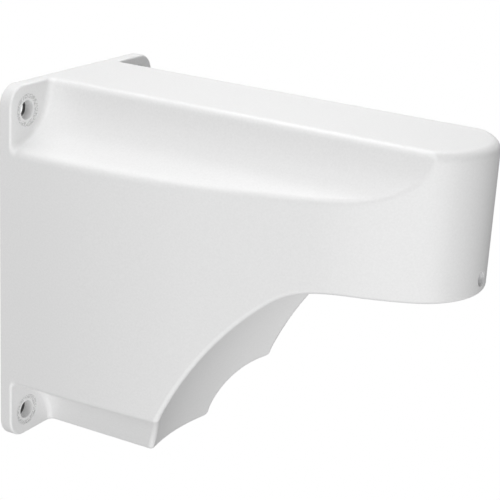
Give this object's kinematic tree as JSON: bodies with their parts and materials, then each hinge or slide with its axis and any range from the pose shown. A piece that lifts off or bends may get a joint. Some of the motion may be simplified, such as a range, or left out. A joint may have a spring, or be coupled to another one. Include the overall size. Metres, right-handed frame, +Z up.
{
  "type": "camera wall bracket",
  "caption": "Hollow die-cast wall bracket that carries a dome camera from a threaded mouth under its rounded nose.",
  "frame": {"origin": "middle of the face that lies on the wall, on the axis of the four wall holes' pattern", "axes": "+X out of the wall towards the nose, +Z up, +Y along the wall, to the left as seen from the wall"},
  "size_m": [0.249, 0.13, 0.2],
  "materials": {
    "powder_coat": "satin light grey powder coat on die-cast aluminium",
    "screw_steel": "plain stainless steel set screw"
  },
  "bodies": {
    "root": {"bracket_casting": "powder_coat", "lock_screw": "screw_steel"}
  },
  "joints": []
}
